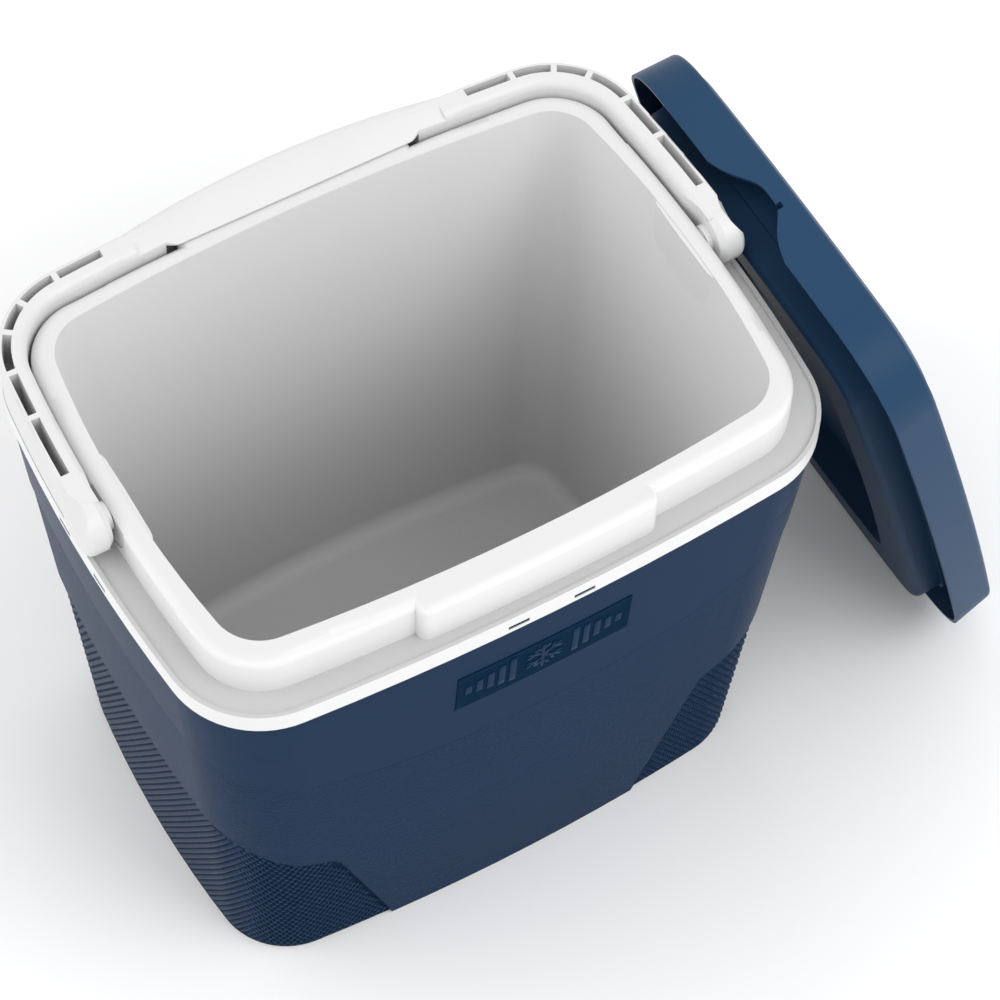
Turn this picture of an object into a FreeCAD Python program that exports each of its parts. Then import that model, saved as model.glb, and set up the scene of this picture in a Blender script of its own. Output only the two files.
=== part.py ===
"""Cooler chest: shell, insulation, liner with rim, swinging bail handle and a separate leaning lid.

Millimetres, +Z up. X runs along the long side, -Y is the front, the floor is z = 0.
"""
import math
import os

import FreeCAD, Part

V = FreeCAD.Vector
Z = V(0, 0, 1)

# plan of the box: both pairs of sides bow outwards a little
HALF_X = 200.0          # half length at the rim skirt, measured at the middle of the short side
HALF_Y = 150.0          # half width at the rim skirt, measured at the middle of the long side
BOW_FRONT = 11.2        # how far the long sides bow out
BOW_SIDE = 11.8         # how far the short sides bow out
CORNER_R = 55.0
FOOT_IN = 20.7          # draft: how far the walls lean in over the full height
FOOT_R = 46.0

# heights
SKIRT_Z = 316.0         # bottom edge of the rim skirt
PLATE_Z = 325.0         # underside of the ledge
LEDGE_Z = 327.2         # top of the ledge
LIP_Z = 329.5           # top of the thin outer lip
RIM_Z = 356.5           # top of the inner rim
FLOOR_Z = 24.0          # underside of the liner floor
WALL = 2.2

# insets from the outer outline of the rim skirt
SHELL_IN = 2.2
RIM_OUT = 17.0
PAD_OUT = 10.0
RIM_IN = 27.7
PAD_HALF = 72.0

# shell skin steps
BAND_PROUD = 0.8
PANEL_DEEP = 1.8
SHELL_WALL = 2.4

# snap windows: centre distance from the middle of each side, and half length
SNAP_AT = 20.0
SNAP_HALF = 6.4
SNAP_Z0 = 319.0
SNAP_Z1 = 322.0

# handle
PIVOT_Z = 346.9
HANDLE_Z0 = 330.2
HANDLE_Z1 = 363.6
ARM_IN = 15.6
GRIP_HALF = 112.0
GRIP_OUT = 158.0
LIP_HALF = 72.0
SLOPE_HALF = 62.0
EAR_R = 17.0
PIN_R = 5.0
SLOT_IN = 2.6
SLOT_OUT = 7.7

# badge
BADGE_HALF = 54.0
BADGE_Z0 = 247.0
BADGE_Z1 = 284.0

# lid, drawn closed side down with its rim plane at z = 0, then stood up
LID_X = 190.5
LID_Y = 144.5
LID_R = 56.0
LID_DEEP = 28.0
LID_TAPER = 2.8
LID_WALL = 2.3
PLUG_X = 170.0
PLUG_Y = 120.6
PLUG_R = 30.0
PLUG_DOWN = 12.0
LID_LEAN = 16.7         # degrees back from upright
LID_AT = V(261.5, -4.7, 181.6)


def arc_set(half_x, half_y, corner_r):
    """Centres and radii of the front arc, the left arc and the corner between them."""
    front_r = (half_x ** 2 + BOW_FRONT ** 2) / (2 * BOW_FRONT)
    side_r = (half_y ** 2 + BOW_SIDE ** 2) / (2 * BOW_SIDE)
    c_front = V(0, -half_y + front_r, 0)
    c_side = V(-half_x + side_r, 0, 0)
    gap = c_side - c_front
    ra = front_r - corner_r
    rb = side_r - corner_r
    along = (gap.Length ** 2 + ra ** 2 - rb ** 2) / (2 * gap.Length)
    up = math.sqrt(ra ** 2 - along ** 2)
    unit = V(gap).normalize()
    normal = V(-unit.y, unit.x, 0)
    choices = [c_front + unit * along + normal * (up * s) for s in (1, -1)]
    c_corner = min(choices, key=lambda c: c.x + c.y)
    return front_r, side_r, c_front, c_side, c_corner


def outline(half_x, half_y, corner_r, z, inset=0.0):
    """Closed wire of eight arcs: four bowed sides and four corners."""
    front_r, side_r, c_front, c_side, c_corner = arc_set(half_x, half_y, corner_r)
    to_front = (c_corner - c_front).normalize()
    to_side = (c_corner - c_side).normalize()
    p1 = c_front + to_front * (front_r - inset)
    p2 = c_side + to_side * (side_r - inset)
    middle = c_corner + (to_front + to_side).normalize() * (corner_r - inset)
    lift = V(0, 0, z)

    def arc(a, b, c):
        return Part.Arc(a + lift, b + lift, c + lift).toShape()

    def flip(p, sx, sy):
        return V(p.x * sx, p.y * sy, 0)

    front = V(0, -half_y + inset, 0)
    side = V(half_x - inset, 0, 0)
    edges = [
        arc(p1, front, flip(p1, -1, 1)),
        arc(flip(p1, -1, 1), flip(middle, -1, 1), flip(p2, -1, 1)),
        arc(flip(p2, -1, 1), side, flip(p2, -1, -1)),
        arc(flip(p2, -1, -1), flip(middle, -1, -1), flip(p1, -1, -1)),
        arc(flip(p1, -1, -1), -front, flip(p1, 1, -1)),
        arc(flip(p1, 1, -1), flip(middle, 1, -1), flip(p2, 1, -1)),
        arc(flip(p2, 1, -1), -side, p2),
        arc(p2, middle, p1),
    ]
    return Part.Wire(edges)


def prism(z0, z1, inset=0.0, half_x=HALF_X, half_y=HALF_Y, corner_r=CORNER_R):
    face = Part.Face(outline(half_x, half_y, corner_r, z0, inset))
    return face.extrude(V(0, 0, z1 - z0))


def loft(low, high):
    return Part.makeLoft([low, high], True, True)


def box(x0, x1, y0, y1, z0, z1):
    return Part.makeBox(x1 - x0, y1 - y0, z1 - z0, V(x0, y0, z0))


def rod(radius, start, axis, length):
    return Part.makeCylinder(radius, length, start, axis)


def both_ends(shape):
    """A shape drawn on the +X side and its mirror image."""
    return [shape, shape.mirror(V(0, 0, 0), V(1, 0, 0))]


def all_four(shape):
    """A shape and its mirror images in X and in Y."""
    pair = both_ends(shape)
    return pair + [s.mirror(V(0, 0, 0), V(0, 1, 0)) for s in pair]


def wall_solid(inset, z0=0.0, z1=315.8):
    """Drafted body of the shell, moved in by inset, between two heights."""
    def size(z):
        lean = FOOT_IN * (1 - z / 315.8)
        radius = FOOT_R + (CORNER_R - SHELL_IN - FOOT_R) * z / 315.8
        return HALF_X - SHELL_IN - lean, HALF_Y - SHELL_IN - lean, radius
    wires = []
    for z in (z0, z1):
        a, b, r = size(z)
        wires.append(outline(a, b, r, z, inset))
    return loft(*wires)


def region_above(points, top):
    """Everything above a curve in XZ, extruded from front to back."""
    right = [V(x, -260, z) for x, z in points]
    left = [V(-p.x, p.y, p.z) for p in reversed(right[1:])]
    curve = Part.BSplineCurve()
    curve.interpolate(left + right)
    start, end = left[0], right[-1]
    edges = [curve.toShape(), Part.makeLine(end, V(end.x, -260, top)),
             Part.makeLine(V(end.x, -260, top), V(start.x, -260, top)),
             Part.makeLine(V(start.x, -260, top), start)]
    return Part.Face(Part.Wire(edges)).extrude(V(0, 520, 0))


def panel_region():
    """The corner panels and the lower part of the short sides, on the +X side."""
    curve = Part.BSplineCurve()
    curve.interpolate([V(126, -260, 114.5), V(146.7, -260, 126), V(170, -260, 146), V(187, -260, 161.5),
                       V(215, -260, 175)])
    knee = Part.Arc(V(117, -260, 101), V(119.8, -260, 109.5), V(126, -260, 114.5)).toShape()
    edges = [Part.makeLine(V(81, -260, -5), V(117, -260, 101)), knee, curve.toShape(),
             Part.makeLine(V(215, -260, 172), V(215, -260, -5)),
             Part.makeLine(V(215, -260, -5), V(81, -260, -5))]
    return Part.Face(Part.Wire(edges)).extrude(V(0, 520, 0))


def stepped_wall(inset, z0=0.0):
    """Shell body with its proud upper band and its recessed lower panels."""
    body = wall_solid(inset, z0)
    curve = [(0, 206), (64, 208.3), (127, 222), (160, 236.8), (205, 265)]
    band = wall_solid(inset - BAND_PROUD, 190.0).common(region_above(curve, 330))
    body = body.fuse(band)
    ring = wall_solid(inset - 6, z0, 200.0).cut(wall_solid(inset + PANEL_DEEP, z0, 200.0))
    for region in both_ends(panel_region()):
        body = body.cut(ring.common(region))
    return body


def make_outer_shell():
    """Tapered outer shell with snap hooks round its neck."""
    shell = stepped_wall(0).fuse(prism(315.8, 324.4, SHELL_IN))
    inside = stepped_wall(SHELL_WALL, 4.0).fuse(prism(315.8, 330, SHELL_IN + SHELL_WALL))
    shell = shell.cut(inside)
    lug = box(SNAP_AT - SNAP_HALF + 0.2, SNAP_AT + SNAP_HALF - 0.2, -152, -144, SNAP_Z0 + 0.2, SNAP_Z1 - 0.2)
    end_lug = box(192, 202, SNAP_AT - SNAP_HALF + 0.2, SNAP_AT + SNAP_HALF - 0.2, SNAP_Z0 + 0.2, SNAP_Z1 - 0.2)
    reach = prism(310, 330, 0.5).cut(prism(310, 330, SHELL_IN + 1))
    for hook in all_four(lug) + all_four(end_lug):
        shell = shell.fuse(hook.common(reach))
    return shell.cut(badge_block(-3, 0.6))


def badge_block(outer, inner):
    """Slice of the band, between two depths, the size of the badge."""
    slab = wall_solid(outer - BAND_PROUD, 240, 290).cut(wall_solid(inner - BAND_PROUD, 240, 290))
    return slab.common(box(-BADGE_HALF, BADGE_HALF, -200, -50, BADGE_Z0, BADGE_Z1))


def make_front_badge():
    """Thin inlaid plate with a raised six-pointed frost mark."""
    plate = badge_block(0.1, 0.6)
    relief = badge_block(-0.3, 0.3)
    mid = V(0, -160, (BADGE_Z0 + BADGE_Z1) / 2)
    for turn in (0, 60, 120):
        bar = box(-13, 13, -160, -120, mid.z - 1.1, mid.z + 1.1)
        bar.rotate(mid, V(0, 1, 0), turn)
        plate = plate.fuse(relief.common(bar))
    for side in (-1, 1):
        stripe = box(min(side * 22, side * 48), max(side * 22, side * 48), -160, -120, mid.z - 1.5, mid.z + 1.5)
        plate = plate.fuse(relief.common(stripe))
    return plate


def tub_solid(inset):
    """Inside space of the liner, grown by a negative inset."""
    low = outline(HALF_X - RIM_IN - 20, HALF_Y - RIM_IN - 20, 24, FLOOR_Z + WALL + inset, inset)
    high = outline(HALF_X - RIM_IN, HALF_Y - RIM_IN, CORNER_R - RIM_IN, RIM_Z, inset)
    solid = loft(low, high)
    bottom = [e for e in solid.Edges if e.BoundBox.ZMax < FLOOR_Z + WALL + inset + 0.01]
    return solid.makeFillet(11.0 - inset, bottom)


def pad(inset, z1):
    """Wider parts of the rim at the middle of the front and of the back, one solid each."""
    ring = prism(LEDGE_Z - 5, z1, PAD_OUT + inset).cut(prism(LEDGE_Z - 5, z1, 24))
    bar = box(-PAD_HALF + inset, PAD_HALF - inset, -200, 200, LEDGE_Z - 5, z1)
    solids = []
    for solid in ring.common(bar).Solids:
        uprights = [e for e in solid.Edges if abs(e.BoundBox.ZLength - (z1 - LEDGE_Z + 5)) < 0.01
                    and abs(e.BoundBox.Center.y) > HALF_Y - PAD_OUT - 6]
        solid = solid.makeFillet(6.0 - inset / 2, uprights)
        top = [e for e in solid.Edges if e.BoundBox.ZMin > z1 - 0.01
               and abs(e.BoundBox.Center.y) > HALF_Y - PAD_OUT - 8]
        solids.append(solid.makeFillet(5.0 - inset / 2, top))
    return solids


def rim_block(inset, z1):
    """Raised rim as a solid block, moved in by inset all round."""
    block = prism(LEDGE_Z - 5, z1, RIM_OUT + inset)
    top = [e for e in block.Edges if e.BoundBox.ZMin > z1 - 0.01]
    block = block.makeFillet(7.0 - inset, top)
    for piece in pad(inset, z1):
        block = block.fuse(piece)
    return block


def make_inner_liner():
    """White tub, rim, ledge and skirt in one moulding."""
    liner = prism(PLATE_Z, LEDGE_Z).fuse(prism(SKIRT_Z, LIP_Z).cut(prism(SKIRT_Z - 1, LIP_Z + 1, 2.0)))
    liner = liner.fuse(rim_block(0, RIM_Z))
    liner = liner.fuse(prism(LEDGE_Z, LIP_Z).cut(prism(LEDGE_Z - 1, LIP_Z + 1, 2.4)))
    hollow = rim_block(WALL, RIM_Z - WALL)
    boss = box(-210, 210, -13, 13, 300, 370)
    hollow = hollow.cut(boss)
    tub = tub_solid(-WALL)
    liner = liner.cut(hollow.cut(tub)).fuse(tub.common(prism(10, RIM_Z, RIM_OUT + WALL)))
    liner = liner.cut(tub_solid(0))
    for end in both_ends(end_pad()):
        liner = liner.fuse(end)
    for end in both_ends(end_pocket()):
        liner = liner.cut(end)
    window = box(SNAP_AT - SNAP_HALF, SNAP_AT + SNAP_HALF, -152, -147.6, SNAP_Z0, SNAP_Z1)
    end_window = box(197.6, 202, SNAP_AT - SNAP_HALF, SNAP_AT + SNAP_HALF, SNAP_Z0, SNAP_Z1)
    for hole in all_four(window) + all_four(end_window):
        liner = liner.cut(hole)
    return liner


def end_pad():
    """Slight swelling of the rim into the opening beside the pivot."""
    curve = [V(178, -34, 0), V(171.6, -31, 0), V(169.9, -20, 0), V(169.6, 0, 0), V(169.9, 20, 0), V(171.6, 31, 0),
             V(178, 34, 0)]
    line = Part.BSplineCurve()
    line.interpolate(curve)
    face = Part.Face(Part.Wire([line.toShape(), Part.makeLine(curve[-1], curve[0])]))
    face.translate(V(0, 0, 322))
    return face.extrude(V(0, 0, RIM_Z - 322 - 1.0))


def end_pocket():
    """Shallow round pocket for the ear and the bore for its pin, on the +X side."""
    pocket = rod(EAR_R + 2.2, V(182.2, 0, PIVOT_Z), V(1, 0, 0), 8)
    pocket = pocket.common(box(180, 200, -30, 30, LEDGE_Z, 380))
    return pocket.fuse(rod(PIN_R + 0.1, V(174, 0, PIVOT_Z), V(1, 0, 0), 12))


def insulation_space():
    """Gap between the shell and the liner that the slabs fill."""
    outside = stepped_wall(SHELL_WALL + 0.4, 24.0).common(box(-300, 300, -300, 300, 0, 306))
    return outside.cut(tub_solid(-WALL - 0.4))


def make_slabs():
    """Four side slabs and the base slab of foam."""
    space = insulation_space()
    cut_y = 108.0
    front = space.common(box(-300, 300, -300, -cut_y, 0, 400))
    back = space.common(box(-300, 300, cut_y, 300, 0, 400))
    left = space.common(box(-300, 0, -cut_y + 0.3, cut_y - 0.3, 0, 400)).common(box(-300, -140, -300, 300, 24, 400))
    right = space.common(box(0, 300, -cut_y + 0.3, cut_y - 0.3, 0, 400)).common(box(140, 300, -300, 300, 24, 400))
    base = stepped_wall(SHELL_WALL + 0.4, 4.4).common(box(-300, 300, -300, 300, 4.4, 23.5))
    return {"insulation_front": front, "insulation_back": back, "insulation_left": left,
            "insulation_right": right, "insulation_base": base}


def slot_ring():
    """The row of open slots along the top of one arm, on the +X side."""
    ring = prism(336, 370, SLOT_IN).cut(prism(336, 370, SLOT_OUT))
    ring = ring.common(box(113.6, 210, 22.7, 200, 330, 370))
    corner = arc_set(HALF_X, HALF_Y, CORNER_R)[4]
    centre = V(-corner.x, -corner.y, 0)
    for x, y in ((142.3, 136.6), (164.5, 130), (178.7, 117.2), (187.7, 94.1), (190.2, 63.3)):
        across = V(1, 0.03, 0) if y < 100 else (V(x, y, 0) - centre).normalize()
        rib = Part.makeBox(22, 3.4, 60, V(-11, -1.7, 320))
        rib.rotate(V(0, 0, 0), Z, math.degrees(math.atan2(across.y, across.x)))
        rib.translate(V(x, y, 0) + across * 2)
        ring = ring.cut(rib)
    return ring


def make_arms():
    """Both arms as one bent bar lying in the ledge, top edges rounded."""
    bar = prism(HANDLE_Z0, HANDLE_Z1, 0.3).cut(prism(HANDLE_Z0, HANDLE_Z1, ARM_IN))
    bar = bar.common(box(-210, 210, 0, 200, 300, 400))
    inner_top = [e for e in bar.Edges if e.BoundBox.ZMin > HANDLE_Z1 - 0.01
                 and not on_outline(e, 0.3) and e.BoundBox.YLength > 0.5 and e.BoundBox.YMax > 0.5]
    bar = bar.makeFillet(5.5, inner_top)
    outer_top = [e for e in bar.Edges if e.BoundBox.ZMin > HANDLE_Z1 - 0.01 and on_outline(e, 0.3)]
    return bar.makeFillet(1.6, outer_top)


def on_outline(edge, inset):
    """True when the middle of an edge lies on the plan outline moved in by inset."""
    mid = edge.valueAt((edge.FirstParameter + edge.LastParameter) / 2)
    wire = outline(HALF_X, HALF_Y, CORNER_R, mid.z, inset)
    return wire.distToShape(Part.Vertex(mid))[0] < 0.05


def bow(out, z0, z1, half, inner):
    """Block whose back bows out to a distance and whose front is straight."""
    end_y = out - (GRIP_OUT - 146.4) * (half / GRIP_HALF) ** 2
    arc = Part.Arc(V(half, end_y, z0), V(0, out, z0), V(-half, end_y, z0)).toShape()
    edges = [arc, Part.makeLine(V(-half, end_y, z0), V(-half, inner, z0)),
             Part.makeLine(V(-half, inner, z0), V(half, inner, z0)),
             Part.makeLine(V(half, inner, z0), V(half, end_y, z0))]
    return Part.Face(Part.Wire(edges)).extrude(V(0, 0, z1 - z0))


def lip_block():
    """Thin inner edge of the grip, whose ends run into the arms in a soft S."""
    z0 = 357.4
    ends = []
    for side in (-1, 1):
        turn = Part.BSplineCurve()
        turn.interpolate([V(side * LIP_HALF, 129.8, z0), V(side * (LIP_HALF + 3.5), 130.9, z0),
                          V(side * (LIP_HALF + 8), 133.6, z0), V(side * (LIP_HALF + 13), 134.9, z0)])
        ends.append(turn.toShape())
    reach = LIP_HALF + 13
    edges = [ends[0], Part.makeLine(V(-LIP_HALF, 129.8, z0), V(LIP_HALF, 129.8, z0)), ends[1],
             Part.makeLine(V(reach, 134.9, z0), V(reach, 142, z0)), Part.makeLine(V(reach, 142, z0), V(-reach, 142, z0)),
             Part.makeLine(V(-reach, 142, z0), V(-reach, 134.9, z0))]
    return Part.Face(Part.Wire(Part.__sortEdges__(edges))).extrude(V(0, 0, HANDLE_Z1 - z0))


def above_slope(x, heights):
    """Section of what is cut away above the grip's slope, at one place along it."""
    places = [127, 130, 134.8, 140.5, 149]
    slope = Part.BSplineCurve()
    slope.interpolate([V(x, y, z) for y, z in zip(places, heights)])
    rest = Part.makePolygon([V(x, 149, heights[-1]), V(x, 149, 367), V(x, 127, 367), V(x, 127, heights[0])])
    return Part.Wire([slope.toShape()] + rest.Edges)


def make_bar():
    """Arms with the wider grip between them: bowed behind, sloping in to a thin lip, open below."""
    outer = bow(GRIP_OUT, HANDLE_Z0, HANDLE_Z1, GRIP_HALF, 141)
    outer_top = [e for e in outer.Edges if e.BoundBox.ZMin > HANDLE_Z1 - 0.1 and e.BoundBox.YMax > GRIP_OUT - 1]
    outer = outer.makeFillet(6.0, outer_top)
    bar = make_arms().cut(box(-79, 79, 100, 141.6, 300, 357.3)).fuse(outer).fuse(lip_block())
    full = [356.4, 358.3, 360.8, 362.7, 363.62]
    faint = [356.4, 358.4, 361.2, 363.55, 363.75]
    bar = bar.cut(Part.Face(above_slope(-SLOPE_HALF, full)).extrude(V(2 * SLOPE_HALF, 0, 0)))
    for side in (-1, 1):
        bar = bar.cut(Part.makeLoft([above_slope(side * SLOPE_HALF, full), above_slope(side * 96, faint)], True, True))
    return bar.cut(bow(GRIP_OUT - 2.6, HANDLE_Z0 - 1, 357.3, 108, 144.2))


def make_ear():
    """Round ear with its pin, tapered towards the rim and rounded outside, on the +X side."""
    x_axis = V(1, 0, 0)
    ear = rod(EAR_R, V(190, 0, PIVOT_Z), x_axis, 12.3)
    rim = [e for e in ear.Edges if e.BoundBox.XMin > 202.2]
    ear = ear.makeFillet(4.6, rim)
    ear = ear.fuse(Part.makeCone(14.0, EAR_R, 3.6, V(186.4, 0, PIVOT_Z), x_axis))
    ear = ear.fuse(rod(8.0, V(182.9, 0, PIVOT_Z), x_axis, 4))
    ear = ear.fuse(rod(PIN_R, V(174.8, 0, PIVOT_Z), x_axis, 12))
    root = Part.makeCone(6.6, PIN_R, 0.6, V(182.9, 0, PIVOT_Z), -x_axis)
    return ear.fuse(root)


def make_handle():
    """Bail handle: arms, grip, slots, ears and pins in one moulding."""
    handle = make_bar()
    gap = Part.Face(Part.makePolygon([V(180, -6, 328), V(186.4, -6, 328), V(186.4, 10, 328), V(184.2, 24, 328),
                                      V(180, 24, 328), V(180, -6, 328)])).extrude(V(0, 0, 40))
    for shape in both_ends(gap):
        handle = handle.cut(shape)
    for shape in both_ends(make_ear()):
        handle = handle.fuse(shape)
    for shape in both_ends(slot_ring()):
        handle = handle.cut(shape)
    scoop = Part.makeSphere(30, V(225.3, -1, PIVOT_Z + 23))
    for shape in both_ends(scoop):
        handle = handle.cut(shape)
    return handle.removeSplitter()


def wave_cutter():
    """Wave-shaped cut in the middle of a short side of the lid skirt, with its small notch."""
    points = [V(0, -40, 0), V(0, -30, 3.2), V(0, -23.6, 6.4), V(0, -15, 12), V(0, -8, 15.2), V(0, 0, 15.8),
              V(0, 8, 15.2), V(0, 16, 11), V(0, 24, 5.6), V(0, 30, 3.0), V(0, 40, 0)]
    curve = Part.BSplineCurve()
    curve.interpolate(points)
    edges = [curve.toShape(), Part.makeLine(points[-1], V(0, 40, -30)), Part.makeLine(V(0, 40, -30), V(0, -40, -30)),
             Part.makeLine(V(0, -40, -30), points[0])]
    cut = Part.Face(Part.Wire(edges)).extrude(V(22, 0, 0))
    cut.translate(V(178, 0, 0))
    return cut.fuse(box(178, 200, 6.5, 10.5, 0, 18.5))


def lid_outline(z, inset, shrink=0.0):
    return outline(LID_X - shrink, LID_Y - shrink, LID_R - shrink / 2, z, inset)


def make_lid_cover():
    """Lid top with its deep skirt, drawn flat."""
    body = loft(lid_outline(0, 0), lid_outline(LID_DEEP, 0, LID_TAPER))
    top = [e for e in body.Edges if e.BoundBox.ZMin > LID_DEEP - 0.01]
    body = body.makeFillet(3.5, top)
    crown = loft(lid_outline(LID_DEEP - 0.5, 5, LID_TAPER), lid_outline(LID_DEEP + 3.0, 16, LID_TAPER))
    body = body.fuse(crown)
    body = body.cut(loft(lid_outline(-1, LID_WALL), lid_outline(LID_DEEP - LID_WALL, LID_WALL, LID_TAPER)))
    for cut in both_ends(wave_cutter()):
        body = body.cut(cut)
    return body


def plug_outline(z, inset):
    return outline(PLUG_X, PLUG_Y, PLUG_R, z, inset)


def make_lid_liner():
    """Underside of the lid: flat flange, stepped plug and recessed pan."""
    flange_z = 18.7
    flange = Part.Face(lid_outline(flange_z, LID_WALL + 0.15, LID_TAPER * 0.86)).extrude(V(0, 0, 2.0))
    plug = loft(plug_outline(-PLUG_DOWN, 2.0), plug_outline(flange_z + 1, 0))
    tip = [e for e in plug.Edges if e.BoundBox.ZMax < -PLUG_DOWN + 0.01]
    plug = plug.makeFillet(5.0, tip)
    inside = loft(plug_outline(-PLUG_DOWN + 2, 4.2), plug_outline(flange_z + 2.2, 2.2))
    pan_low = outline(PLUG_X - 34, PLUG_Y - 34, 18, -PLUG_DOWN - 1, 0)
    pan_top = outline(PLUG_X - 38, PLUG_Y - 38, 16, 6.0, 0)
    pan = loft(pan_low, pan_top)
    under = loft(outline(PLUG_X - 31.8, PLUG_Y - 31.8, 20, -PLUG_DOWN - 1, 0),
                 outline(PLUG_X - 35.8, PLUG_Y - 35.8, 18, 8.2, 0))
    liner = flange.fuse(plug).cut(inside.cut(under)).cut(pan)
    step = plug_outline(6.0, -1.4)
    collar = Part.Face(step).extrude(V(0, 0, 13.5)).cut(loft(plug_outline(0, 1.0), plug_outline(19.5, 1.0)))
    return liner.fuse(collar)


def make_lid_insulation():
    """Foam pad that fills the lid over the plug."""
    upper = loft(lid_outline(20.9, LID_WALL + 1.2, LID_TAPER), lid_outline(LID_DEEP - LID_WALL - 0.3, LID_WALL + 1.2,
                                                                       LID_TAPER))
    lower = Part.Face(outline(PLUG_X - 41, PLUG_Y - 41, 16, 8.6, 0)).extrude(V(0, 0, 13))
    middle = Part.Face(plug_outline(9.0, 8.0)).extrude(V(0, 0, 13))
    return upper.fuse(lower).fuse(middle)


def stand_up(shape):
    """Turns a lid piece from flat to leaning on its short side."""
    lean = math.radians(LID_LEAN)
    up = V(-math.sin(lean), 0, math.cos(lean))
    out = V(math.cos(lean), 0, math.sin(lean))
    turn = FreeCAD.Matrix(up.x, 0, out.x, LID_AT.x, up.y, -1, out.y, LID_AT.y, up.z, 0, out.z, LID_AT.z, 0, 0, 0, 1)
    placed = shape.copy()
    placed.Placement = FreeCAD.Placement(turn).multiply(shape.Placement)
    return placed


def main():
    os.makedirs("parts", exist_ok=True)
    shapes = {"outer_shell": make_outer_shell(), "inner_liner": make_inner_liner(), "front_badge": make_front_badge(),
              "handle": make_handle()}
    shapes.update(make_slabs())
    lid = {"lid_cover": make_lid_cover(), "lid_liner": make_lid_liner(), "lid_insulation": make_lid_insulation()}
    shapes.update({name: stand_up(shape) for name, shape in lid.items()})
    for name, shape in shapes.items():
        shape.exportStep("parts/" + name + ".step")
        box_ = shape.BoundBox
        print(name, len(shape.Solids), shape.isValid(), round(shape.Volume / 1000, 1),
              [round(v, 1) for v in (box_.XMin, box_.XMax, box_.YMin, box_.YMax, box_.ZMin, box_.ZMax)])


main()
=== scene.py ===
"""Cooler chest: blue shell with ribbed corners, white liner and rim, bail handle, and the lid beside it."""
import math

import bmesh
import bpy
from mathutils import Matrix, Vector


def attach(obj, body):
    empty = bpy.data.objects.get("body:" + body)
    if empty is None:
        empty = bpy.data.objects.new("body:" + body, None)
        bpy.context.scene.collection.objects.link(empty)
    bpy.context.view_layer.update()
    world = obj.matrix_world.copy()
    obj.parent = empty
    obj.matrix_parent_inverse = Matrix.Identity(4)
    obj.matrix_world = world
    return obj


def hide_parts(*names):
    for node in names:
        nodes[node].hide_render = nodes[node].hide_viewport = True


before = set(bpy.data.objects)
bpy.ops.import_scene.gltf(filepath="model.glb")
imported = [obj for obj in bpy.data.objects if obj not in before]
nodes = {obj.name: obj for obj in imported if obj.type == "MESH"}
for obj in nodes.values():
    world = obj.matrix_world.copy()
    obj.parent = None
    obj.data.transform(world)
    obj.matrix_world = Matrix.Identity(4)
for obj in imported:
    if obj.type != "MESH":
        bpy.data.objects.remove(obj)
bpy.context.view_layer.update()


# Outer shell. A drafted box of navy polypropylene, injection moulded, with a smooth proud band below the rim,
# a finely grained middle and recessed panels at its four corners. It snaps into the skirt of the white rim.
SHELL_NAVY = (0.003, 0.021, 0.060, 1)
# Lighter blue for the plastic's tone and wear, and for the painted light on the band.
SHELL_NAVY_WORN_AND_LIT = (0.009, 0.031, 0.076, 1)
SHELL_IOR = 1.09
SHELL_SHEEN = {"Sheen_Weight": 0.2, "Sheen_Roughness": 0.2}
SHELL_GRAIN_DEEP = 0.00036
BAND_MIDDLE_Z = 0.206      # lower edge of the smooth band at the middle of the long side
BAND_RISE = 0.059          # how much higher that edge runs at the corner
BAND_CORNER_X = 0.205
BAND_CURL = 2.75           # how sharply the edge turns up towards the corner
PANEL_SIDE = (0.0815, 0.3396)      # slanted edge of a recessed panel: its place at the foot, and its slope
PANEL_EDGE = ((0.117, 0.101), (0.126, 0.1145), (0.1467, 0.126), (0.170, 0.146), (0.187, 0.1615),
              (0.215, 0.175))      # curved upper edge: places out from the middle and their heights
# Painted shade between the ribs: a matt dark navy laid in the hollows of the recessed panels.
VALLEY_PAINTED_SHADE = (0.003, 0.011, 0.027, 1)
VALLEY_SHADE_SHARE = 0.6          # how much of the hollows between the ribs is matt and of that colour, a painted shade


class Wire:
    """One socket of a finish. Sums on it are written as they are on paper, and add their own nodes."""

    def __init__(self, tree, socket=None):
        self.tree, self.socket = tree, socket

    def node(self, kind, settings, sockets, out=0):
        """Adds a node of this kind: first its settings, then the values or wires of its sockets."""
        made = self.tree.nodes.new("ShaderNode" + kind)
        for name, value in settings.items():
            if name == "stops":
                stops = made.color_ramp.elements
                while len(stops) < len(value):
                    stops.new(1.0)
                for stop, (place, shade) in zip(stops, value):
                    stop.position, stop.color = place, shade
            else:
                setattr(made, name, value)
        for key, value in sockets.items():
            if isinstance(value, Wire):
                self.tree.links.new(value.socket, made.inputs[key])
            else:
                made.inputs[key].default_value = value
        return Wire(self.tree, made.outputs[out] if made.outputs else None)

    def math(self, operation, *values):
        return self.node("Math", {"operation": operation}, dict(enumerate(values)))

    def __add__(self, other):
        return self.math("ADD", self, other)

    def __mul__(self, other):
        return self.math("MULTIPLY", self, other)

    def __sub__(self, other):
        return self.math("SUBTRACT", self, other)

    def __rsub__(self, other):
        return self.math("SUBTRACT", other, self)

    def __pow__(self, other):
        return self.math("POWER", self, other)

    __radd__ = __add__
    __rmul__ = __mul__

    def size(self):
        return self.math("ABSOLUTE", self)

    def between(self, low, high):
        """0 below low, 1 above high, smooth in between."""
        return self.node("MapRange", {"interpolation_type": "SMOOTHSTEP"}, {0: self, 1: low, 2: high}, 0)

    def blend(self, shade, other):
        """The first colour where this is 0 and the other where it is 1."""
        return self.node("Mix", {"data_type": "RGBA"}, {0: self, 6: shade, 7: other}, 2)

    def noise(self, place, scale, detail=2.0, rough=0.5):
        sockets = {"Vector": place, "Scale": scale, "Detail": detail, "Roughness": rough}
        return self.node("TexNoise", {}, sockets)

    def stretched(self, place, sizes, turn=(0, 0, 0)):
        return self.node("Mapping", {}, {"Vector": place, "Rotation": turn, "Scale": sizes})


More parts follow.
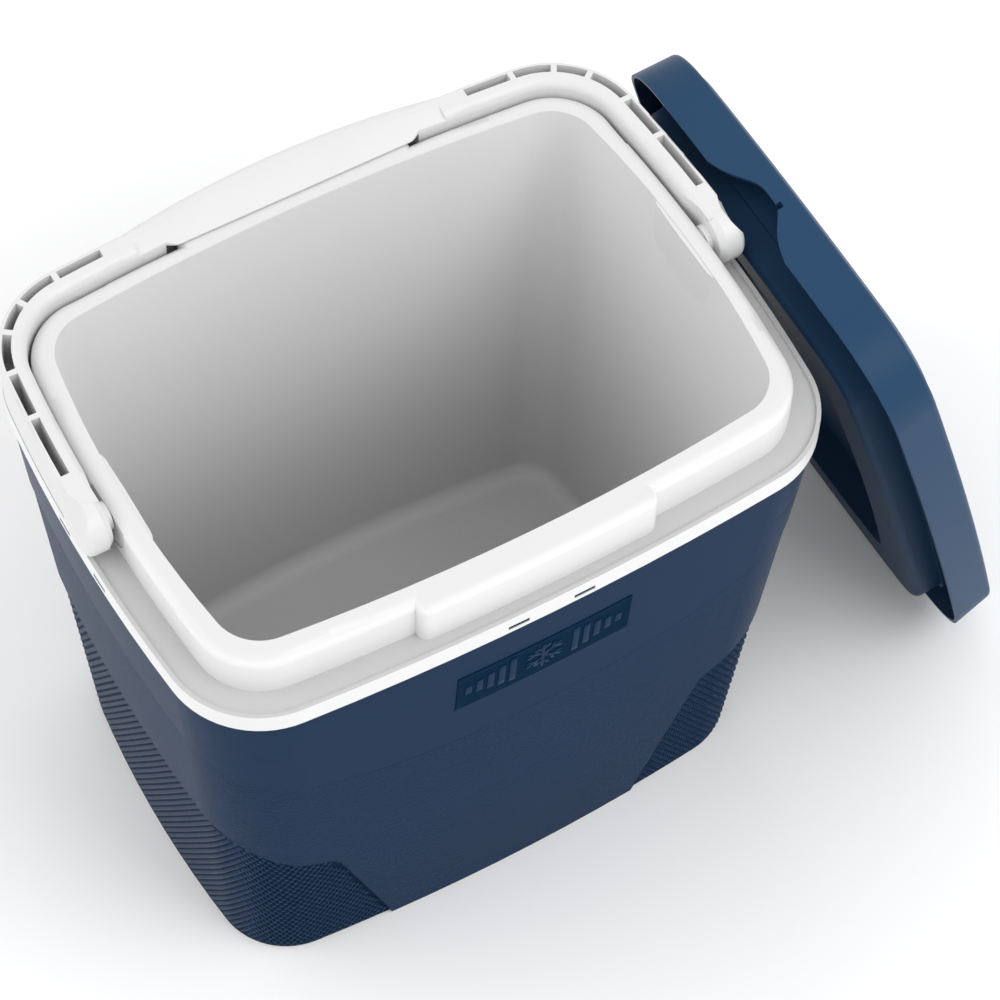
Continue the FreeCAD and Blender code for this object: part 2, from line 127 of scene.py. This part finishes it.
def new_finish(name):
    """An empty finish, a wire to build it with, and the place on the piece that its patterns are drawn at."""
    finish = bpy.data.materials.new(name)
    finish.use_nodes = True
    finish.node_tree.nodes.clear()
    wire = Wire(finish.node_tree)
    return finish, wire, wire.node("TexCoord", {}, {}, "Object")


def close_finish(wire, shade, rough, height, depth, painted_shade=None, **fixed):
    """Joins colour, roughness and surface relief, whose depth is in metres, into one plastic surface.

    Where a mask and a colour of painted shade are given, the surface there is matt and of that colour."""
    bump = wire.node("Bump", {}, {"Height": height, "Distance": depth, "Strength": 1.0})
    sockets = {"Base Color": shade, "Roughness": rough, "Normal": bump}
    sockets.update({key.replace("_", " "): value for key, value in fixed.items()})
    plastic = wire.node("BsdfPrincipled", {}, sockets)
    if painted_shade:
        matt = wire.node("BsdfDiffuse", {}, {"Color": painted_shade[1], "Roughness": 1.0, "Normal": bump})
        plastic = wire.node("MixShader", {}, {0: painted_shade[0], 1: plastic, 2: matt})
    wire.node("OutputMaterial", {}, {"Surface": plastic})


def dress(piece, finish):
    """Puts one finish on every slot of a piece."""
    if not piece.material_slots:
        piece.data.materials.append(finish)
    for place in piece.material_slots:
        place.material = finish


def navy_plastic(name, paint_valley_shade):
    """The shell's plastic: smooth on the band, grained below it, and with a matt dark painted shade in the
    hollows between the ribs.
    """
    finish, wire, place = new_finish(name)
    across = wire.node("SeparateXYZ", {}, {"Vector": place}, 0)
    height = wire.node("SeparateXYZ", {}, {"Vector": place}, 2)
    band_edge = (across.size() * (1 / BAND_CORNER_X)) ** BAND_CURL * BAND_RISE + BAND_MIDDLE_Z
    on_band = (height - band_edge).between(-0.0004, 0.0006)
    grain = wire.noise(place, 950, 2, 0.6)
    pits = wire.node("TexVoronoi", {"feature": "SMOOTH_F1"}, {"Vector": place, "Scale": 720})
    flow = wire.noise(wire.stretched(place, (9, 9, 3)), 1.0, 3)
    scuff = wire.noise(wire.stretched(place, (35, 35, 260)), 1.0, 4, 0.65).between(0.60, 0.74)
    # Painted light: the band is shifted a little towards the lighter blue, where light falls on the upper
    # shell; flow and scuff are the plastic's own tone and wear.
    shade = (flow * 0.55 + scuff * 0.18 + on_band * 0.10).blend(SHELL_NAVY, SHELL_NAVY_WORN_AND_LIT)
    relief = (1 - on_band) * (grain * 0.8 + pits * 0.6) + on_band * grain * 0.08
    rough = 0.40 + 0.07 * flow + scuff * 0.06 - on_band * 0.05
    painted_shade = None
    # Painted shade: the hollows between the ribs on the recessed panels are laid over with a matt dark navy.
    if paint_valley_shade:
        reach = PANEL_EDGE[-1][0]
        stops = [(x / reach, (z / reach, z / reach, z / reach, 1)) for x, z in PANEL_EDGE]
        curve = wire.node("ValToRGB", {"stops": stops}, {"Fac": across.size() * (1 / reach)})
        under_curve = (curve * reach - height).between(0.0, 0.0010)
        foot, slope = PANEL_SIDE
        past_side = (across.size() - height * slope).between(foot, foot + 0.0008)
        painted_shade = (under_curve * past_side * VALLEY_SHADE_SHARE, VALLEY_PAINTED_SHADE)
    close_finish(wire, shade, rough, relief, SHELL_GRAIN_DEEP, painted_shade, IOR=SHELL_IOR, **SHELL_SHEEN)
    return finish


shell_finish = navy_plastic("navy_shell_plastic", True)
dress(nodes["outer_shell"], shell_finish)


# Ribs and knurl of the corner panels. Each recessed panel is covered with slanting rounded ribs, which break
# up into a diamond knurl of upright beads round the corner. Both are part of the shell's own moulding.
RIB_SLOPE = math.radians(60.3)
RIB_PITCH = 0.0036
RIB_RADIUS = 0.0021
RIB_SUNK = 0.00163         # how deep a rib's middle lies under the panel
RIB_FADE = 0.00045         # how much deeper it lies where it gives way to beads
BEAD_STEP = RIB_PITCH / math.sin(RIB_SLOPE)
BEAD_SIZE = (0.00142, 0.00245, 0.00080)      # half its width and height, and how far it stands out
TURN_START = 0.48          # how far the wall has turned to the front where the first beads stand
TURN_END = 0.76            # and where the last rib sinks away
PANEL_TOP_Z = 0.172
PANEL_MARGIN = 0.0016      # plain strip kept free along a panel's edges
FOOT_Z = 0.004             # height at which the ribs are set out
FOOT_CLEAR = 0.0015
FOOT_START = (0.012, 0.15)
FOOT_END_X = 0.084         # where the ribs end on the front, at the foot
RIB_END_X = 0.080
OFF_WALL = 0.002           # how far in front of the wall the next point is looked for
BEAD_CUT = -0.3            # where the bead's ball is cut off, under the surface
shell = nodes["outer_shell"]
rib_finish = navy_plastic("navy_rib_plastic", False)


def in_panel(x, z):
    """True on the recessed panels: outside the slanted edge and under the curved one."""
    x = abs(x) - PANEL_MARGIN
    if z < FOOT_CLEAR or x < PANEL_SIDE[0] + z * PANEL_SIDE[1]:
        return False
    if x < PANEL_EDGE[0][0]:
        return z < PANEL_EDGE[0][1] - PANEL_MARGIN
    for (x0, z0), (x1, z1) in zip(PANEL_EDGE, PANEL_EDGE[1:]):
        if x <= x1:
            return z < z0 + (z1 - z0) * (x - x0) / (x1 - x0) - PANEL_MARGIN
    return False


def base_walk(side):
    """Places along the foot of the shell, from the back round one short side to the front, a rib apart."""
    _, spot, normal, _ = shell.closest_point_on_mesh(
        Vector((side * FOOT_START[0], FOOT_START[1], FOOT_Z)))
    while not (spot.y < 0 and abs(spot.x) < FOOT_END_X):
        yield spot
        ahead = Vector((side * normal.y, -side * normal.x, 0)).normalized()
        _, spot, normal, _ = shell.closest_point_on_mesh(spot + ahead * BEAD_STEP + normal * OFF_WALL)
        spot.z = FOOT_Z


def rib_walk(spot, side):
    """Points and outward directions up one rib line, which rises towards the front."""
    _, spot, normal, _ = shell.closest_point_on_mesh(spot)
    while spot.z < PANEL_TOP_Z and not (spot.y < 0 and abs(spot.x) < RIB_END_X):
        yield spot.copy(), normal.copy()
        level = Vector((side * normal.y, -side * normal.x, 0)).normalized()
        ahead = level * math.cos(RIB_SLOPE) + Vector((0, 0, math.sin(RIB_SLOPE)))
        _, spot, normal, _ = shell.closest_point_on_mesh(spot + ahead * BEAD_STEP + normal * OFF_WALL)


bpy.ops.object.select_all(action="DESELECT")
bpy.ops.mesh.primitive_uv_sphere_add(segments=8, ring_count=6, radius=1)
bead = bpy.context.object
bpy.ops.object.mode_set(mode="EDIT")
bpy.ops.mesh.select_all(action="SELECT")
bpy.ops.mesh.bisect(plane_co=(0, 0, BEAD_CUT), plane_no=(0, 0, 1), clear_inner=True, use_fill=True)
bpy.ops.object.mode_set(mode="OBJECT")
bead_points = [corner.co.copy() for corner in bead.data.vertices]
bead_faces = [list(face.vertices) for face in bead.data.polygons]
bpy.data.objects.remove(bead)

for hand, side in (("left", -1), ("right", 1)):
    line = bpy.data.curves.new("side_ribs_" + hand, "CURVE")
    line.dimensions = "3D"
    line.bevel_depth = RIB_RADIUS
    line.bevel_resolution = 2
    line.use_fill_caps = True
    knurl_points, knurl_faces = [], []
    for foot in base_walk(side):
        run = []
        for spot, normal in rib_walk(foot, side):
            if not in_panel(spot.x, spot.z):
                continue
            turned = min(1, max(0, (abs(normal.y) - TURN_START) / (TURN_END - TURN_START)))
            if turned < 1:
                run.append(spot - normal * (RIB_SUNK + RIB_FADE * turned))
            if turned == 0:
                continue
            level = Vector((-normal.y, normal.x, 0)).normalized()
            upward = normal.cross(level).normalized()
            first = len(knurl_points)
            for point in bead_points:
                knurl_points.append(spot + level * point.x * BEAD_SIZE[0]
                                    + upward * point.y * BEAD_SIZE[1]
                                    + normal * point.z * BEAD_SIZE[2] * turned)
            knurl_faces += [[first + corner for corner in face] for face in bead_faces]
        if len(run) > 2:
            spline = line.splines.new("POLY")
            spline.points.add(len(run) - 1)
            for point, spot in zip(spline.points, run):
                point.co = (*spot, 1)
    ribs = bpy.data.objects.new("side_ribs_" + hand, line)
    bpy.context.collection.objects.link(ribs)
    bpy.ops.object.select_all(action="DESELECT")
    ribs.select_set(True)
    bpy.context.view_layer.objects.active = ribs
    bpy.ops.object.convert(target="MESH")
    bpy.ops.object.shade_smooth_by_angle(angle=math.radians(50))
    mesh = bpy.data.meshes.new("corner_knurl_" + hand)
    mesh.from_pydata(knurl_points, [], knurl_faces)
    knurl = bpy.data.objects.new("corner_knurl_" + hand, mesh)
    bpy.context.collection.objects.link(knurl)
    bpy.ops.object.select_all(action="DESELECT")
    knurl.select_set(True)
    bpy.context.view_layer.objects.active = knurl
    bpy.ops.object.shade_smooth_by_angle(angle=math.radians(80))
    for piece in (bpy.data.objects["side_ribs_" + hand], knurl):
        dress(piece, rib_finish)
        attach(piece, "chest")


# Frost badge. A thin plate of darker blue pressed into its pocket in the band, and on it a raised six-pointed
# mark between two rows of upright bars. The mark and the bars are moulded in the colour of the shell.
BADGE_MID_Z = 0.2655
BADGE_START_Y = -0.2       # in front of the shell, from where the sheets are pressed on
BADGE_PLATE = (0.1080, 0.0370)
PLATE_THICK = 0.00045
PLATE_GLUE = 0.00005
PLATE_ROUND = 0.00012
MARK_THICK = 0.00035
MARK_ROUND = 0.0001
STAR_HUB = 0.0022
STAR_ARM = (0.0044, 0.0028, 0.0040)      # hub to twigs, width of the twigs, twigs to tip
STAR_TWIG = 0.0042
TWIG_LEAN = 1.3            # sideways per part outwards
BAR_WIDTH = 0.0040
BAR_PITCH = 0.0068
BAR_HEIGHTS = (0.0250, 0.0210, 0.0165, 0.0120, 0.0080)
BAR_FIRST_X = 0.0195


def flat_sheet(name, width, height, x, columns, rows):
    """A flat grid in front of the shell, facing forwards."""
    bpy.ops.object.select_all(action="DESELECT")
    bpy.ops.mesh.primitive_grid_add(x_subdivisions=columns, y_subdivisions=rows, size=1,
                                    location=(x, BADGE_START_Y, BADGE_MID_Z), rotation=(math.pi / 2, 0, 0))
    sheet = bpy.context.object
    sheet.name = name
    sheet.scale = (width, height, 1)
    bpy.ops.object.transform_apply(location=True, rotation=True, scale=True)
    return sheet


def press_on(sheet, target, gap, thick, edge):
    """Lays a flat sheet on a wall behind it, a gap away, gives it its thickness and rounds its rim."""
    wrap = sheet.modifiers.new("wrap", "SHRINKWRAP")
    wrap.target, wrap.wrap_method, wrap.use_project_y = target, "PROJECT", True
    wrap.wrap_mode, wrap.offset = "ABOVE_SURFACE", gap
    wall = sheet.modifiers.new("wall", "SOLIDIFY")
    wall.thickness, wall.offset = thick, -1
    rim = sheet.modifiers.new("rim", "BEVEL")
    rim.width, rim.segments, rim.limit_method, rim.angle_limit = edge, 2, "ANGLE", math.radians(50)
    bpy.ops.object.select_all(action="DESELECT")
    sheet.select_set(True)
    bpy.context.view_layer.objects.active = sheet
    for step in ("wrap", "wall", "rim"):
        bpy.ops.object.modifier_apply(modifier=step)
    bpy.ops.object.shade_smooth_by_angle(angle=math.radians(30))


def pull_edge(near, shift):
    """Extrudes the edge of the mark that lies nearest to a place."""
    mesh = bmesh.from_edit_mesh(bpy.context.object.data)
    bpy.ops.mesh.select_all(action="DESELECT")
    edge = min(mesh.edges, key=lambda e: ((e.verts[0].co + e.verts[1].co) / 2 - near).length)
    edge.select_set(True)
    bmesh.update_edit_mesh(bpy.context.object.data)
    bpy.ops.mesh.extrude_edges_move(TRANSFORM_OT_translate={"value": shift})


badge_plate = flat_sheet("badge_plate", *BADGE_PLATE, 0, 36, 12)
press_on(badge_plate, shell, PLATE_THICK + PLATE_GLUE, PLATE_THICK, PLATE_ROUND)

bpy.ops.object.select_all(action="DESELECT")
hub = Vector((0, BADGE_START_Y, BADGE_MID_Z))
bpy.ops.mesh.primitive_circle_add(vertices=6, radius=STAR_HUB, fill_type="NGON", location=hub,
                                  rotation=(math.pi / 2, 0, 0))
star = bpy.context.object
star.name = "frost_mark"
bpy.ops.object.transform_apply(location=True, rotation=True, scale=True)
bpy.ops.object.mode_set(mode="EDIT")
bpy.ops.mesh.select_mode(type="EDGE")
half = STAR_HUB / 2
for arm in range(6):
    out, aside = [Vector((math.cos(turn), 0, math.sin(turn))) for turn in
                  (math.radians(60 * arm + 30), math.radians(60 * arm + 120))]
    reach = STAR_HUB * math.cos(math.radians(30))
    for length in STAR_ARM:
        pull_edge(hub + out * reach, out * length)
        reach += length
    twig_at = reach - STAR_ARM[2] - STAR_ARM[1] / 2
    for hand in (-1, 1):
        lean = (out + aside * hand * TWIG_LEAN).normalized()
        pull_edge(hub + out * twig_at + aside * half * hand, lean * STAR_TWIG)
bpy.ops.mesh.select_all(action="SELECT")
bpy.ops.mesh.normals_make_consistent(inside=False)
bpy.ops.object.mode_set(mode="OBJECT")
bars = [flat_sheet("frost_bar", BAR_WIDTH, tall, side * (BAR_FIRST_X + BAR_PITCH * count), 2, 5)
        for side in (-1, 1) for count, tall in enumerate(BAR_HEIGHTS)]
bpy.ops.object.select_all(action="DESELECT")
for piece in (*bars, star):
    piece.select_set(True)
bpy.context.view_layer.objects.active = star
bpy.ops.object.join()
press_on(star, badge_plate, MARK_THICK, MARK_THICK, MARK_ROUND)

badge_finish, wire, place = new_finish("deep_blue_badge_plastic")
brushed = wire.noise(wire.stretched(place, (60, 60, 900)), 1.0, 3)
mottle = wire.noise(place, 60, 3)
shade = (mottle * 0.7).blend((0.0005, 0.015, 0.039, 1), (0.001, 0.020, 0.050, 1))
close_finish(wire, shade, 0.34 + brushed * 0.1, brushed, 0.00004, IOR=1.04)
for piece, finish, slot in ((badge_plate, badge_finish, "badge_blue"), (star, shell_finish, "shell_blue"),
                            (nodes["front_badge"], badge_finish, "badge_blue")):
    dress(piece, finish)
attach(badge_plate, "chest")
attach(star, "chest")
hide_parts("front_badge")


# Liner, rim and skirt. One thick white polypropylene moulding: the tub that holds the goods, its rounded rim,
# the ledge that the handle folds into and the skirt that hides the joint with the shell.
LEDGE_TOP_Z = 0.3460
liner_finish, wire, place = new_finish("white_liner_plastic")
height = wire.node("SeparateXYZ", {}, {"Vector": place}, 2)
facing = wire.node("TexCoord", {}, {}, "Normal")
upward = wire.node("SeparateXYZ", {}, {"Vector": facing}, 2).between(0.5, 0.95)
ripple = wire.noise(place, 14, 2)
haze = wire.noise(place, 220, 3, 0.6)
marks = wire.noise(wire.stretched(place, (30, 30, 400)), 1.0, 4, 0.6).between(0.62, 0.78)
# Painted shade: the tub greys towards its floor, where shade falls deep inside; it also grows rougher there.
deep = (0.350 - height).between(0.0, 0.320)
# Painted shade in the ledge's groove: the up-facing ledge is greyed where shade falls.
ledge_painted_shade = upward * (LEDGE_TOP_Z - height).between(0.0, 0.0008) * (height - 0.300).between(0.0, 0.005)
clean = (ripple * 0.5 + marks * 0.4).blend((0.80, 0.80, 0.80, 1), (0.76, 0.76, 0.765, 1))
# Painted shade on the rim's up-facing top, greyed a little.
rim_top_painted_shade = upward * (height - LEDGE_TOP_Z).between(0.0, 0.0008)
# The grey it blends to is painted shade; clean is the plastic's own tone.
shade = (deep + ledge_painted_shade + rim_top_painted_shade * 0.38).blend(clean, (0.52, 0.52, 0.52, 1))
rough = 0.30 + haze * 0.10 + marks * 0.08 + deep * 0.20
close_finish(wire, shade, rough, ripple * 0.5 + haze * 0.05, 0.00022, IOR=1.45)
dress(nodes["inner_liner"], liner_finish)


# Bail handle. One white moulding: two arms with a row of open slots, a wider hollow grip between them, and a
# round ear with a pin at each end that turns in the rim. The grip is finely textured for the hand.
handle_finish, wire, place = new_finish("white_handle_plastic")
along = wire.node("SeparateXYZ", {}, {"Vector": place}, 0)
on_grip = 1 - along.size().between(0.074, 0.082)
grain = wire.noise(place, 1700, 2, 0.6)
ripple = wire.noise(place, 25, 2)
shade = (ripple * 0.6).blend((0.71, 0.71, 0.71, 1), (0.66, 0.66, 0.665, 1))
rough = 0.36 + on_grip * 0.10 + ripple * 0.05
close_finish(wire, shade, rough, on_grip * grain * 0.8 + grain * 0.12, 0.00010, IOR=1.49)
dress(nodes["handle"], handle_finish)


# Foam slabs. Five blocks of moulded bead foam fill the gap between shell and liner, and a pad fills the lid.
# Each is a solid of fused white beads about 4 mm across, held by the two mouldings round it.
foam_finish, wire, place = new_finish("bead_foam")
seam = wire.node("TexVoronoi", {"feature": "DISTANCE_TO_EDGE"}, {"Vector": place, "Scale": 260})
tone = wire.node("TexVoronoi", {}, {"Vector": place, "Scale": 260})
shade = (tone * 0.5).blend((0.86, 0.86, 0.86, 1), (0.76, 0.765, 0.77, 1))
close_finish(wire, shade, 0.85 - seam * 0.1, seam.between(0.0, 0.18), 0.0005)
for name in [n for n in nodes if n.startswith("insulation_")] + ["lid_insulation"]:
    dress(nodes[name], foam_finish)


# Lid cover. The blue top of the lid: a shallow crown inside a deep rounded skirt, with a wave cut out of the
# middle of each short side for the handle ears. It is moulded smooth and slightly glossy.
COVER_BLUE = (0.017, 0.051, 0.112, 1)
COVER_BLUE_WORN = (0.026, 0.068, 0.140, 1)
COVER_IOR = 1.20

def lid_plastic(name, dark, light, ior):
    """Smooth blue plastic, a little rubbed, between two shades."""
    finish, wire, place = new_finish(name)
    flow = wire.noise(place, 7, 3)
    grain = wire.noise(place, 1300, 2)
    rub = wire.noise(wire.stretched(place, (220, 30, 30), (0, 0.5, 0)), 1.0, 4, 0.6).between(0.62, 0.76)
    shade = (flow * 0.5 + rub * 0.25).blend(dark, light)
    close_finish(wire, shade, 0.36 + flow * 0.06 + rub * 0.06, grain * 0.3 + flow * 0.3, 0.00010, IOR=ior)
    return finish


dress(nodes["lid_cover"], lid_plastic("blue_lid_plastic", COVER_BLUE, COVER_BLUE_WORN, COVER_IOR))


# Lid liner. The underside of the lid: a stepped plug that fits the rim, with a shallow pan in its middle. It
# is a duller blue moulding, welded to the cover round its edge with the foam pad between them; its blue is
# painted darker than the cover's as painted shade.
# Painted shade: the underside's blue is darker than the cover's, for the shade it lies in.
UNDER_SHADED_BLUE = (0.009, 0.030, 0.067, 1)
UNDER_SHADED_BLUE_WORN = (0.014, 0.041, 0.088, 1)
UNDER_IOR = 1.12
dress(nodes["lid_liner"], lid_plastic("dull_shaded_lid_plastic", UNDER_SHADED_BLUE, UNDER_SHADED_BLUE_WORN, UNDER_IOR))


# Studio. A plain pale floor, a bright even surround and two broad soft lamps.
SURROUND = 0.95
LAMP_AIM = (0, 0, 0.2)
LAMP_WIDTH = 1.6
CAMERA_TURN = (32.4878, -1.2969, -30.1354)
bpy.ops.object.select_all(action="DESELECT")
bpy.ops.mesh.primitive_plane_add(size=12, location=(0, 0, -0.0005))
floor = bpy.context.object
floor.name = "studio_floor"
floor_finish, wire, place = new_finish("pale_floor_paint")
cloud = wire.noise(place, 2, 2)
close_finish(wire, cloud.blend((0.97, 0.97, 0.97, 1), (0.95, 0.95, 0.955, 1)), 0.9, cloud, 0.0002)
dress(floor, floor_finish)

world = bpy.data.worlds.new("studio")
bpy.context.scene.world = world
world.use_nodes = True
world.node_tree.nodes["Background"].inputs["Color"].default_value = (1, 1, 1, 1)
world.node_tree.nodes["Background"].inputs["Strength"].default_value = SURROUND


def soft_lamp(name, place, aim, width, power):
    """A square soft box at a place, turned towards a point."""
    bpy.ops.object.light_add(type="AREA", location=place)
    lamp = bpy.context.object
    lamp.name = name
    lamp.data.size = width
    lamp.data.energy = power
    lamp.rotation_euler = (Vector(aim) - Vector(place)).to_track_quat("-Z", "Y").to_euler()


soft_lamp("key_lamp", (0.9, -1.5, 2.2), LAMP_AIM, LAMP_WIDTH, 22)
soft_lamp("fill_lamp", (-1.8, 0.6, 1.6), LAMP_AIM, LAMP_WIDTH, 10)

bpy.ops.object.camera_add(location=(-0.559384, -0.983198, 1.997540))
camera = bpy.context.object
camera.rotation_euler = [math.radians(turn) for turn in CAMERA_TURN]
camera.data.lens = 134.083
camera.data.sensor_width = 36
camera.data.clip_end = 50
bpy.context.scene.camera = camera
bpy.context.scene.view_settings.view_transform = "Standard"
